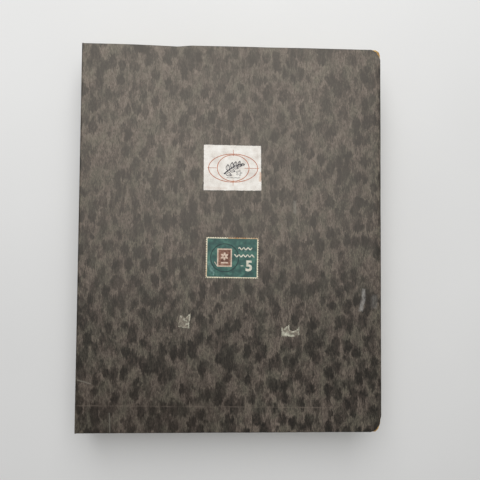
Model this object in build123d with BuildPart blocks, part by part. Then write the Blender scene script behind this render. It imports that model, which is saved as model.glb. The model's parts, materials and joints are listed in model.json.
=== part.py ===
from build123d import *
import os

# Stamp album of the concealed-post kind, closed and lying on its back cover.
# The origin is the centre of its footprint on the table, +X points to the fore-edge,
# +Y to the head and +Z up. All sizes are in millimetres.

os.makedirs("parts", exist_ok=True)

# --- Case: two cover panels and a spine in one wrap of covering paper
COVER_WIDTH = 228.6
COVER_HEIGHT = 292.1
BOARD = 2.4
SKIN = 0.4
LINING = 0.25
TURN_IN = 15.0
BOARD_CORNER = 4.0
WORN_CORNER = 10.0
LINING_MARGIN = 3.0
HINGE_INSET = 1.2
BOARD_SETBACK = 1.0
LINING_SETBACK = 2.5
SPINE_GAP = 2.0
SPINE_END_GAP = 0.4

# --- Binding: flaps, posts and punched guards
HEAD_GAP = 1.5
FLAP_BOARD = 1.6
FLAP_CLOTH = 0.3
GUARD_WIDTH = 22.0
GUARD_CLEARANCE = 0.05
POSTS = 3
POST_SPACING = 108.0
BARREL_RADIUS = 2.6
BARREL_BORE = 2.05
SHANK_RADIUS = 2.0
POST_CLEARANCE = 0.25
HEAD_RADIUS = 4.8
HEAD_THICKNESS = 1.0
SLOT_WIDTH = 1.1
SLOT_DEPTH = 0.5
SHANK_LENGTH = 9.0
BARREL_RELIEF = 0.3
INNER_HINGE = 0.3
INNER_HINGE_LEG = 5.0
INNER_HINGE_GAP = 0.25

# --- Leaves: stiff cards joined to the guards by linen
LEAVES = 9
LEAF_PITCH = 2.4
CARD = 1.0
EDGE_SQUARE = 6.35
FORE_SQUARE = 7.25
CARD_CORNER = 3.0
LINEN = 0.3
LINEN_LIP = 8.0
LINEN_SPAN = 12.0

# --- Pockets and the stamps in them
ROW_PITCH = 38.0
STRIP_HEIGHT = 24.0
STRIP_DEPTH = 0.4
POCKET_DEPTH = 0.25
WELD = 1.5
STRIP_MARGIN = 5.0
STRIP_START = 14.0
STAMP = 0.12
STAMP_SEAT = 0.5
STAMP_SIZES = [(24.0, 30.0), (40.0, 30.0), (30.0, 34.0), (36.0, 26.0), (26.0, 32.0)]
STAMP_GAP = 13.0
STAMPED_LEAVES = 6

# --- Paper stuck on the front cover: width, height and centre of each piece
LABEL_PAPER = 0.15
LABEL_SIZE = (43.6, 35.0)
LABEL_CENTRE = (0.8, 52.7)
STAMP_LABEL_SIZE = (39.4, 30.6)
STAMP_LABEL_CENTRE = (0.8, -15.8)
LEFT_REMNANT = [(-38.4, -56.3), (-30.0, -57.2), (-29.7, -62.0), (-31.0, -69.0), (-37.0, -67.6), (-39.6, -63.0)]
RIGHT_REMNANT = [(38.0, -66.0), (43.5, -64.7), (46.0, -67.5), (51.8, -66.0), (51.0, -73.0), (45.0, -74.8), (38.6, -73.6)]

# --- Places worked out from the sizes above
PANEL = BOARD + 2 * SKIN + LINING
FLAP = FLAP_BOARD + 2 * FLAP_CLOTH
GUARD_BOTTOM = PANEL + HEAD_GAP + FLAP
THICKNESS = 2 * GUARD_BOTTOM + LEAVES * LEAF_PITCH
MIDDLE = THICKNESS / 2
X_SPINE = -COVER_WIDTH / 2
X_FORE = COVER_WIDTH / 2
X_HINGE = X_SPINE + HINGE_INSET
X_BOARD = X_HINGE + BOARD_SETBACK
X_GUARD = X_SPINE + PANEL + SPINE_GAP
X_GUARD_END = X_GUARD + GUARD_WIDTH
X_CARD = X_GUARD_END + LINEN_SPAN
X_CARD_END = X_FORE - FORE_SQUARE
X_POST = X_GUARD + GUARD_WIDTH / 2
X_STRIP = X_CARD + STRIP_START
X_STRIP_END = X_CARD_END - STRIP_MARGIN
LEAF_HEIGHT = COVER_HEIGHT - 2 * EDGE_SQUARE
SPINE_BOTTOM = PANEL + SPINE_END_GAP
SPINE_TOP = THICKNESS - SPINE_BOTTOM
ROWS = int((LEAF_HEIGHT - 2 * STRIP_MARGIN) // ROW_PITCH)
FRONT = -1
BACK = 1


def save(part, name):
    part.label = name
    export_step(part, f"parts/{name}.step")


def outer_level(side):
    """Height of a cover's outer face: the table for the back, the top for the front."""
    return THICKNESS if side == FRONT else 0.0


def slab(x0, x1, height, corner=0.0):
    """Rectangle from x0 to x1, centred on the album's height, rounded at its fore-edge corners."""
    with BuildSketch() as outline:
        with Locations(((x0 + x1) / 2, 0)):
            Rectangle(x1 - x0, height)
        if corner > 0:
            fillet(outline.vertices().group_by(Axis.X)[-1], corner)
    return outline.sketch


# --- Cover panels -----------------------------------------------------------------------------

def make_board(side, name):
    """Strawboard of a cover, inside its covering on every side but the hinge."""
    with BuildPart() as board:
        with BuildSketch(Plane.XY.offset(outer_level(side) + side * SKIN)):
            add(slab(X_BOARD, X_FORE - SKIN, COVER_HEIGHT - 2 * SKIN, BOARD_CORNER))
        extrude(amount=side * BOARD)
    save(board.part, name)


def make_covering(side, name):
    """Covering paper of a cover: outer face, three edges and turn-ins, worn off at the corners."""
    outer = outer_level(side)
    with BuildPart() as covering:
        with BuildSketch(Plane.XY.offset(outer)):
            add(slab(X_HINGE, X_FORE, COVER_HEIGHT, WORN_CORNER))
        extrude(amount=side * (BOARD + 2 * SKIN))
        with BuildSketch(Plane.XY.offset(outer + side * SKIN)):
            add(slab(X_HINGE, X_FORE - SKIN, COVER_HEIGHT - 2 * SKIN, BOARD_CORNER))
        extrude(amount=side * BOARD, mode=Mode.SUBTRACT)
        with BuildSketch(Plane.XY.offset(outer + side * (SKIN + BOARD))):
            add(slab(X_HINGE, X_FORE - TURN_IN, COVER_HEIGHT - 2 * TURN_IN))
        extrude(amount=side * SKIN, mode=Mode.SUBTRACT)
        with BuildSketch(Plane.XY.offset(outer + side * SKIN)):
            add(slab(X_HINGE, X_BOARD + LINING_SETBACK, COVER_HEIGHT))
        extrude(amount=side * (BOARD + SKIN), mode=Mode.SUBTRACT)
    save(covering.part, name)


def make_endpaper(side, name):
    """Endpaper pasted over the turn-ins on the inside of a cover."""
    with BuildPart() as endpaper:
        with BuildSketch(Plane.XY.offset(outer_level(side) + side * (PANEL - LINING))):
            add(slab(X_BOARD + LINING_SETBACK, X_FORE - LINING_MARGIN, COVER_HEIGHT - 2 * LINING_MARGIN, CARD_CORNER))
        extrude(amount=side * LINING)
    save(endpaper.part, name)


# --- Spine ------------------------------------------------------------------------------------

def make_spine():
    """Spine board, its covering with turn-ins, and the lining that faces the leaves."""
    spine_height = SPINE_TOP - SPINE_BOTTOM
    across = Plane(origin=(X_SPINE, 0, MIDDLE), x_dir=(0, 1, 0), z_dir=(1, 0, 0))
    with BuildPart() as spine_board:
        with BuildSketch(across.offset(SKIN)):
            Rectangle(COVER_HEIGHT - 2 * SKIN, spine_height)
        extrude(amount=BOARD)
    save(spine_board.part, "spine_board")

    with BuildPart() as spine_covering:
        with BuildSketch(across):
            Rectangle(COVER_HEIGHT, spine_height)
        extrude(amount=BOARD + 2 * SKIN)
        with BuildSketch(across.offset(SKIN)):
            Rectangle(COVER_HEIGHT - 2 * SKIN, spine_height)
        extrude(amount=BOARD, mode=Mode.SUBTRACT)
        with BuildSketch(across.offset(SKIN + BOARD)):
            Rectangle(COVER_HEIGHT - 2 * TURN_IN, spine_height)
        extrude(amount=SKIN, mode=Mode.SUBTRACT)
    save(spine_covering.part, "spine_covering")

    with BuildPart() as spine_lining:
        with BuildSketch(across.offset(PANEL - LINING)):
            Rectangle(COVER_HEIGHT - 2 * LINING_MARGIN, spine_height)
        extrude(amount=LINING)
    save(spine_lining.part, "spine_lining")


def make_outer_hinge(side, name):
    """The covering where it bends round the corner from the spine to a cover."""
    outer = outer_level(side)
    end = SPINE_TOP if side == FRONT else SPINE_BOTTOM
    bend = outer + side * HINGE_INSET
    profile = Plane(origin=(0, COVER_HEIGHT / 2, 0), x_dir=(1, 0, 0), z_dir=(0, -1, 0))
    with BuildPart() as hinge:
        with BuildSketch(profile):
            with BuildLine():
                Line((X_SPINE, end), (X_SPINE, bend))
                RadiusArc((X_SPINE, bend), (X_HINGE, outer), -side * HINGE_INSET)
                Line((X_HINGE, outer), (X_HINGE, outer + side * SKIN))
                RadiusArc((X_HINGE, outer + side * SKIN), (X_SPINE + SKIN, bend), side * (HINGE_INSET - SKIN))
                Line((X_SPINE + SKIN, bend), (X_SPINE + SKIN, end))
                Line((X_SPINE + SKIN, end), (X_SPINE, end))
            make_face()
        extrude(amount=COVER_HEIGHT)
    save(hinge.part, name)


def make_inner_hinge(side, name):
    """Cloth joint inside the case, folded from the flap on to the inside of the cover."""
    cover_face = outer_level(side) + side * PANEL
    flap_face = cover_face + side * HEAD_GAP
    low, high = sorted((cover_face, flap_face))
    x_fold = X_GUARD - SPINE_GAP + INNER_HINGE_GAP
    profile = Plane(origin=(0, LEAF_HEIGHT / 2, 0), x_dir=(1, 0, 0), z_dir=(0, -1, 0))
    with BuildPart() as hinge:
        with BuildSketch(profile):
            with Locations((x_fold, (low + high) / 2)):
                Rectangle(SPINE_GAP + INNER_HINGE_LEG, high - low, align=(Align.MIN, Align.CENTER))
            with Locations((x_fold + INNER_HINGE, (low + high) / 2)):
                Rectangle(
                    SPINE_GAP + INNER_HINGE_LEG,
                    high - low - 2 * INNER_HINGE,
                    align=(Align.MIN, Align.CENTER),
                    mode=Mode.SUBTRACT,
                )
        extrude(amount=LEAF_HEIGHT)
    save(hinge.part, name)


# --- Binding ----------------------------------------------------------------------------------

def post_places(z):
    """Centres of the posts at a height."""
    first = -(POSTS - 1) * POST_SPACING / 2
    return [(X_POST, first + i * POST_SPACING, z) for i in range(POSTS)]


def make_flap(side, board_name, cloth_name):
    """Stiff strip that clamps the guards, and the cloth wrapped round it."""
    outer = outer_level(side) + side * (PANEL + HEAD_GAP)
    hole = BARREL_RADIUS + POST_CLEARANCE
    centres = [(x, y) for x, y, _ in post_places(0)]
    with BuildPart() as board:
        with BuildSketch(Plane.XY.offset(outer + side * FLAP_CLOTH)):
            add(slab(X_GUARD + FLAP_CLOTH, X_GUARD_END - FLAP_CLOTH, LEAF_HEIGHT))
            with Locations(*centres):
                Circle(hole, mode=Mode.SUBTRACT)
        extrude(amount=side * FLAP_BOARD)
    save(board.part, board_name)

    with BuildPart() as cloth:
        with BuildSketch(Plane.XY.offset(outer)):
            add(slab(X_GUARD, X_GUARD_END, LEAF_HEIGHT))
            with Locations(*centres):
                Circle(hole, mode=Mode.SUBTRACT)
        extrude(amount=side * FLAP)
        with BuildSketch(Plane.XY.offset(outer + side * FLAP_CLOTH)):
            add(slab(X_GUARD + FLAP_CLOTH, X_GUARD_END - FLAP_CLOTH, LEAF_HEIGHT))
        extrude(amount=side * FLAP_BOARD, mode=Mode.SUBTRACT)
    save(cloth.part, cloth_name)


def leaf_level(number):
    """Mid height of a leaf; leaf 1 lies on top."""
    return THICKNESS - GUARD_BOTTOM - (number - 0.5) * LEAF_PITCH


def make_guards():
    """Punched guard strips, one for each leaf, stacked between the flaps."""
    centres = [(x, y) for x, y, _ in post_places(0)]
    thickness = LEAF_PITCH - GUARD_CLEARANCE
    with BuildPart() as guards:
        for number in range(1, LEAVES + 1):
            with BuildSketch(Plane.XY.offset(leaf_level(number) - thickness / 2)):
                add(slab(X_GUARD, X_GUARD_END, LEAF_HEIGHT))
                with Locations(*centres):
                    Circle(BARREL_RADIUS + POST_CLEARANCE, mode=Mode.SUBTRACT)
            extrude(amount=thickness)
    save(guards.part, "leaf_guards")


def make_posts():
    """Headed tubes pushed up through the block and the slotted screws that close them."""
    bottom = PANEL + HEAD_GAP
    top = THICKNESS - bottom
    shank_end = top - SHANK_LENGTH
    with BuildPart() as barrels:
        with Locations(*post_places(bottom - HEAD_THICKNESS)):
            Cylinder(HEAD_RADIUS, HEAD_THICKNESS, align=(Align.CENTER, Align.CENTER, Align.MIN))
        with Locations(*post_places(bottom)):
            Cylinder(BARREL_RADIUS, top - BARREL_RELIEF - bottom, align=(Align.CENTER, Align.CENTER, Align.MIN))
        with Locations(*post_places(shank_end - BARREL_RELIEF)):
            Cylinder(
                BARREL_BORE,
                SHANK_LENGTH + BARREL_RELIEF,
                align=(Align.CENTER, Align.CENTER, Align.MIN),
                mode=Mode.SUBTRACT,
            )
    save(barrels.part, "post_barrels")

    with BuildPart() as screws:
        with Locations(*post_places(shank_end)):
            Cylinder(SHANK_RADIUS, SHANK_LENGTH, align=(Align.CENTER, Align.CENTER, Align.MIN))
        with Locations(*post_places(top)):
            Cylinder(HEAD_RADIUS, HEAD_THICKNESS, align=(Align.CENTER, Align.CENTER, Align.MIN))
        with Locations(*post_places(top + HEAD_THICKNESS - SLOT_DEPTH)):
            Box(
                2 * HEAD_RADIUS,
                SLOT_WIDTH,
                SLOT_DEPTH,
                align=(Align.CENTER, Align.CENTER, Align.MIN),
                mode=Mode.SUBTRACT,
            )
    save(screws.part, "post_screws")


# --- Leaves -----------------------------------------------------------------------------------

def make_card(number):
    """Stiff card of one leaf."""
    with BuildPart() as card:
        with BuildSketch(Plane.XY.offset(leaf_level(number) - CARD / 2)):
            add(slab(X_CARD, X_CARD_END, LEAF_HEIGHT, CARD_CORNER))
        extrude(amount=CARD)
    save(card.part, f"leaf_{number}_card")


def make_linen(number):
    """Linen hinge of one leaf: a web from the guard, and two lips that grip the card."""
    level = leaf_level(number)
    with BuildPart() as linen:
        with BuildSketch(Plane.XY.offset(level - LINEN / 2)):
            add(slab(X_GUARD_END, X_CARD, LEAF_HEIGHT))
        extrude(amount=LINEN)
        with BuildSketch(Plane.XY.offset(level - CARD / 2 - LINEN)):
            add(slab(X_CARD - LINEN, X_CARD + LINEN_LIP, LEAF_HEIGHT))
        extrude(amount=CARD + 2 * LINEN)
        with BuildSketch(Plane.XY.offset(level - CARD / 2)):
            add(slab(X_CARD, X_CARD + LINEN_LIP, LEAF_HEIGHT))
        extrude(amount=CARD, mode=Mode.SUBTRACT)
    save(linen.part, f"leaf_{number}_linen_hinge")


def row_bottom(row):
    """Lower edge of a pocket strip; row 0 is nearest the tail."""
    return (row - ROWS / 2) * ROW_PITCH + (ROW_PITCH - STRIP_HEIGHT - WELD) / 2


def make_strips(number):
    """Glassine strips on both faces of a leaf, each open along its upper edge."""
    width = X_STRIP_END - X_STRIP
    middle = (X_STRIP + X_STRIP_END) / 2
    with BuildPart() as strips:
        for up in (1, -1):
            face = Plane.XY.offset(leaf_level(number) + up * CARD / 2)
            with BuildSketch(face):
                with Locations(*[(middle, row_bottom(row)) for row in range(ROWS)]):
                    Rectangle(width, STRIP_HEIGHT, align=(Align.CENTER, Align.MIN))
            extrude(amount=up * STRIP_DEPTH)
            with BuildSketch(face):
                with Locations(*[(middle, row_bottom(row) + WELD) for row in range(ROWS)]):
                    Rectangle(width - 2 * WELD, STRIP_HEIGHT, align=(Align.CENTER, Align.MIN))
            extrude(amount=up * POCKET_DEPTH, mode=Mode.SUBTRACT)
    save(strips.part, f"leaf_{number}_pocket_strips")


def stamps_in_row(number, row, up):
    """Corner and size of each stamp in one pocket; rows differ as a collector fills them."""
    seed = number * 5 + row * 3 + (2 if up > 0 else 0)
    x = X_STRIP + WELD + STAMP_GAP * (0.5 + (seed % 3) / 2)
    placed = []
    for place in range(seed % 4):
        width, height = STAMP_SIZES[(seed + place) % len(STAMP_SIZES)]
        if x + width < X_STRIP_END - WELD:
            placed.append((x, row_bottom(row) + WELD + STAMP_SEAT, width, height))
        x += width + STAMP_GAP
    return placed


def make_stamps(number):
    """Stamps standing in the pockets on both faces of a leaf."""
    with BuildPart() as stamps:
        for up in (1, -1):
            lift = CARD / 2 + (POCKET_DEPTH - STAMP) / 2
            with BuildSketch(Plane.XY.offset(leaf_level(number) + up * lift)):
                for row in range(ROWS):
                    for x, y, width, height in stamps_in_row(number, row, up):
                        with Locations((x, y)):
                            Rectangle(width, height, align=(Align.MIN, Align.MIN))
            extrude(amount=up * STAMP)
    save(stamps.part, f"leaf_{number}_stamps")


# --- Paper stuck on the front cover -----------------------------------------------------------

def make_sticker(size, centre, name):
    """Rectangular piece of paper pasted on the front cover."""
    with BuildPart() as sticker:
        with BuildSketch(Plane.XY.offset(THICKNESS)):
            with Locations(centre):
                Rectangle(*size)
        extrude(amount=LABEL_PAPER)
    save(sticker.part, name)


def make_remnant(corners, name):
    """Torn scrap that stayed behind when a label was pulled off."""
    with BuildPart() as remnant:
        with BuildSketch(Plane.XY.offset(THICKNESS)):
            with BuildLine():
                Polyline(*corners, close=True)
            make_face()
        extrude(amount=LABEL_PAPER)
    save(remnant.part, name)


make_board(BACK, "back_board")
make_covering(BACK, "back_covering")
make_endpaper(BACK, "back_endpaper")
make_board(FRONT, "front_board")
make_covering(FRONT, "front_covering")
make_endpaper(FRONT, "front_endpaper")
make_spine()
make_outer_hinge(BACK, "back_outer_hinge")
make_outer_hinge(FRONT, "front_outer_hinge")
make_inner_hinge(BACK, "back_inner_hinge")
make_inner_hinge(FRONT, "front_inner_hinge")
make_flap(BACK, "back_flap_board", "back_flap_cloth")
make_flap(FRONT, "front_flap_board", "front_flap_cloth")
make_guards()
make_posts()
for leaf in range(1, LEAVES + 1):
    make_card(leaf)
    make_linen(leaf)
    make_strips(leaf)
    if leaf <= STAMPED_LEAVES:
        make_stamps(leaf)
make_sticker(LABEL_SIZE, LABEL_CENTRE, "paper_label")
make_sticker(STAMP_LABEL_SIZE, STAMP_LABEL_CENTRE, "cover_stamp")
make_remnant(LEFT_REMNANT, "torn_remnant_left")
make_remnant(RIGHT_REMNANT, "torn_remnant_right")
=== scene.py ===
import json
import random
from math import cos, hypot, pi, radians, sin, tau

import bmesh
import bpy
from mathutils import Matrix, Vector, noise


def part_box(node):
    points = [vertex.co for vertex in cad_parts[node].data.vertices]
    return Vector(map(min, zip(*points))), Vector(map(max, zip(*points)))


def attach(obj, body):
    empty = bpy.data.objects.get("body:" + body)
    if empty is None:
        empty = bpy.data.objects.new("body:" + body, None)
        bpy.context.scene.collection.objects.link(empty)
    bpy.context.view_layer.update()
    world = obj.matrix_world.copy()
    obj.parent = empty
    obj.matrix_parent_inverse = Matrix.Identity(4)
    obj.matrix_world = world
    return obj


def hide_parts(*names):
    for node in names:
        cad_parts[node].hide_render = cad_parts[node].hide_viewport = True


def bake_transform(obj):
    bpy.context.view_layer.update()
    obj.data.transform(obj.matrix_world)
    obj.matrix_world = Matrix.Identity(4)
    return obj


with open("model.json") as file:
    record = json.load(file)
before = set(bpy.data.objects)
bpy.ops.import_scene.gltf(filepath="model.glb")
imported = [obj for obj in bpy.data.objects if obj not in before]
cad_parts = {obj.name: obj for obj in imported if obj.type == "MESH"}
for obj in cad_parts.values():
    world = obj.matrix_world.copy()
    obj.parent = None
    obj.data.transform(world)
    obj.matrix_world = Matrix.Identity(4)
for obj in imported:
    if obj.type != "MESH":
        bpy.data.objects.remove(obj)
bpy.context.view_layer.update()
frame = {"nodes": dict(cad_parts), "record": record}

MM = 0.001
LEAVES = 9
STAMPED_LEAVES = 6


def corners(node):
    """Lowest and highest corner of a CAD node, in millimetres."""
    low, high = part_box(node)
    return [c / MM for c in low], [c / MM for c in high]


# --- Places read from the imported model, in millimetres
FRONT_LOW, FRONT_HIGH = corners("front_covering")
X_HINGE, X_FORE, HALF, TOP = FRONT_LOW[0], FRONT_HIGH[0], FRONT_HIGH[1], FRONT_HIGH[2]
PANEL = TOP - FRONT_LOW[2]
SPINE_LOW, SPINE_HIGH = corners("spine_covering")
X_SPINE = SPINE_LOW[0]
SKIN = 0.38
HINGE_SKIN = 0.36
CLOTH = 0.28
FOLDED_SCRAP = 0.07
HINGE_RADIUS = X_HINGE - X_SPINE
TURN_IN = 7.0
EDGE_RADIUS = 0.9
CORNER_STEPS = 24
FACE_RINGS = 52
BARE = 0.45
FLOOR_LEVEL = -0.2
FLOOR_HALF = 3000

scene = bpy.context.scene
scene.view_settings.view_transform = "Standard"


# --- Small geometry helpers

def wave(x, y, scale, seed=0.0):
    """Smooth noise from -1 to 1; scale is the size of its lumps in millimetres."""
    return noise.noise(Vector((x / scale, y / scale, seed + 0.37)))


def mesh_object(name, verts, faces, materials, facing=None, indices=None, angle=40.0):
    """Mesh object from millimetre points; facing is the way its first face looks."""
    mesh = bpy.data.meshes.new(name)
    mesh.from_pydata([Vector(v) * MM for v in verts], [], faces)
    for material in materials:
        mesh.materials.append(material)
    if indices is not None:
        mesh.polygons.foreach_set("material_index", indices)
    work = bmesh.new()
    work.from_mesh(mesh)
    bmesh.ops.recalc_face_normals(work, faces=work.faces)
    work.faces.ensure_lookup_table()
    if facing is not None and work.faces[0].normal.dot(Vector(facing)) < 0:
        bmesh.ops.reverse_faces(work, faces=work.faces)
    work.to_mesh(mesh)
    work.free()
    mesh.polygons.foreach_set("use_smooth", [True] * len(mesh.polygons))
    mesh.set_sharp_from_angle(angle=radians(angle))
    made = bpy.data.objects.new(name, mesh)
    scene.collection.objects.link(made)
    return made


def point_values(made, name, values):
    """Stores one number for each point of a mesh."""
    made.data.attributes.new(name, "FLOAT", "POINT").data.foreach_set("value", values)


def thicken(made, thickness):
    """Gives a sheet its thickness, on the side away from its normals."""
    solid = made.modifiers.new("solid", "SOLIDIFY")
    solid.thickness = thickness * MM
    solid.offset = -1.0
    solid.use_even_offset = True
    bpy.context.view_layer.update()
    graph = bpy.context.evaluated_depsgraph_get()
    mesh = bpy.data.meshes.new_from_object(made.evaluated_get(graph), preserve_all_data_layers=True,
                                           depsgraph=graph)
    made.modifiers.clear()
    made.data = mesh
    made.data.set_sharp_from_angle(angle=radians(40))


def grid(rows, columns, keep=None, first=0):
    """Faces of a rows by columns sheet of points, numbered from first."""
    return [
        (first + r * columns + c, first + r * columns + c + 1,
         first + (r + 1) * columns + c + 1, first + (r + 1) * columns + c)
        for r in range(rows - 1)
        for c in range(columns - 1)
        if keep is None or keep(r, c)
    ]


def steps(low, high, pitch):
    """Evenly spaced numbers from low to high, about pitch apart."""
    count = max(1, round(abs(high - low) / pitch))
    return [low + (high - low) * i / count for i in range(count + 1)]


def unit(value):
    """The value kept between 0 and 1."""
    return min(1.0, max(0.0, value))


def quarter(radius, count):
    """Rounded edge as count steps from wall to face: (how far in, how far down)."""
    angles = [radians(90 * i / count) for i in range(count + 1)]
    return [(radius * (1 - sin(a)), radius * (1 - cos(a))) for a in angles]


def rectangle(half_w, half_h):
    return [(-half_w, -half_h), (half_w, -half_h), (half_w, half_h), (-half_w, half_h)]


# --- Shader helper

def srgb(red, green, blue):
    """Colour from 0-255 display values, as the linear numbers a shader takes."""
    linear = [v / 255 / 12.92 if v <= 10 else ((v / 255 + 0.055) / 1.055) ** 2.4
              for v in (red, green, blue)]
    return (*linear, 1.0)


class Shader:
    """A node material whose methods each add one node and return its output."""

    def __init__(self, name, roughness=0.6, specular=0.5, metallic=0.0):
        self.material = bpy.data.materials.new(name)
        self.material.use_nodes = True
        self.tree = self.material.node_tree
        self.tree.nodes.clear()
        output = self.add("OutputMaterial")
        self.bsdf = self.add("BsdfPrincipled", {
            "Roughness": roughness, "Specular IOR Level": specular, "Metallic": metallic})
        self.tree.links.new(self.bsdf.outputs[0], output.inputs[0])
        self.place = self.add("TexCoord").outputs["Object"]

    def add(self, kind, sockets=None, **values):
        """New node, with some of its inputs linked or set."""
        node = self.tree.nodes.new("ShaderNode" + kind)
        for key, value in values.items():
            setattr(node, key, value)
        for key, value in (sockets or {}).items():
            self.feed(node.inputs[key], value)
        return node

    def feed(self, socket, value):
        if isinstance(value, bpy.types.NodeSocket):
            self.tree.links.new(value, socket)
        else:
            socket.default_value = value

    def mapped(self, scale, shift=(0, 0, 0), source=None):
        scale = scale if isinstance(scale, tuple) else (scale,) * 3
        return self.add("Mapping", {
            "Vector": source or self.place, "Scale": scale, "Location": shift}).outputs[0]

    def noise(self, scale, detail=2.0, rough=0.5, shift=(0, 0, 0), source=None, colour=False):
        node = self.add("TexNoise", {
            "Vector": self.mapped(scale, shift, source), "Scale": 1.0,
            "Detail": detail, "Roughness": rough})
        return node.outputs["Color" if colour else "Fac"]

    def cells(self, scale, shift=(0, 0, 0), source=None):
        """Distance to the nearest of scattered points, and a number that differs from cell to cell."""
        sockets = {"Vector": self.mapped(scale, shift, source), "Scale": 1.0}
        node = self.add("TexVoronoi", sockets, feature="F1")
        return node.outputs["Distance"], self.axes(node.outputs["Color"])[0]

    def math(self, operation, a, b=0.0, c=0.0, clamp=False):
        return self.add("Math", {0: a, 1: b, 2: c}, operation=operation, use_clamp=clamp).outputs[0]

    def times(self, a, b, clamp=False):
        return self.math("MULTIPLY", a, b, clamp=clamp)

    def fma(self, a, b, c, clamp=False):
        """a times b, plus c."""
        return self.math("MULTIPLY_ADD", a, b, c, clamp)

    def minus(self, a, b):
        return self.math("SUBTRACT", a, b)

    def most(self, a, b):
        return self.math("MAXIMUM", a, b)

    def vector(self, operation, a, b=(0, 0, 0)):
        node = self.add("VectorMath", {0: a, 1: b}, operation=operation)
        return node.outputs["Value" if operation == "DOT_PRODUCT" else "Vector"]

    def ramp(self, value, stops):
        """Number or 0-255 colour read off a row of (place, what it is there)."""
        node = self.add("ValToRGB", {0: value})
        elements = node.color_ramp.elements
        while len(elements) < len(stops):
            elements.new(0.5)
        for element, (position, colour) in zip(elements, stops):
            element.position = position
            element.color = srgb(*colour) if isinstance(colour, tuple) else (colour, colour, colour, 1)
        return node.outputs[0]

    def mask(self, scale, detail, rough, shift, low, high, least=0.0, most=1.0):
        """Noise turned into patches: least below low, most above high."""
        return self.ramp(self.noise(scale, detail, rough, shift), [(low, least), (high, most)])

    def stretch(self, value, gain):
        """More contrast about the middle value, kept between 0 and 1."""
        return self.fma(value, gain, 0.5 - gain / 2, clamp=True)

    def mix(self, factor, a, b, blend="MIX"):
        return self.add("Mix", {0: factor, 6: a, 7: b}, data_type="RGBA", blend_type=blend).outputs[2]

    def over(self, colour, paint, amount, share=None):
        """The colour with some of a 0-255 paint over it."""
        return self.mix(amount if share is None else self.times(amount, share), colour, srgb(*paint))

    def attribute(self, name, output="Fac"):
        return self.add("Attribute", attribute_name=name).outputs[output]

    def axes(self, source=None):
        return self.add("SeparateXYZ", {0: source or self.place}).outputs

    def bump(self, height, distance, strength=1.0):
        return self.add("Bump", {
            "Strength": strength, "Distance": distance * MM, "Height": height}).outputs[0]

    def finish(self, colour, roughness=None, normal=None):
        for name, value in (("Base Color", colour), ("Roughness", roughness), ("Normal", normal)):
            if value is not None:
                self.feed(self.bsdf.inputs[name], value)
        return self.material

    def stroke(self, start, end, width, soft=0.4, ragged=0.0):
        """1 on a line between two points of the cover in millimetres, 0 away from it."""
        run = Vector(end) - Vector(start)
        half = run.length * MM / 2
        along = run / run.length
        offset = self.vector("SUBTRACT", self.place, (start[0] * MM, start[1] * MM, 0))
        if ragged:
            shake = self.vector("SUBTRACT", self.noise((420, 420, 0), 3, 0.6, colour=True), (0.5, 0.5, 0.5))
            offset = self.vector("ADD", offset, self.vector("MULTIPLY", shake, (ragged * MM,) * 3))
        travel = self.vector("DOT_PRODUCT", offset, (along.x, along.y, 0))
        across = self.math("ABSOLUTE", self.vector("DOT_PRODUCT", offset, (-along.y, along.x, 0)))
        beyond = self.most(self.minus(self.math("ABSOLUTE", self.minus(travel, half)), half), 0.0)
        far = self.most(across, beyond)
        sockets = {0: far, 1: width * MM / 2, 2: (width / 2 + soft) * MM, 3: 1.0, 4: 0.0}
        return self.add("MapRange", sockets, interpolation_type="SMOOTHSTEP").outputs[0]


# --- Materials

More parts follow.
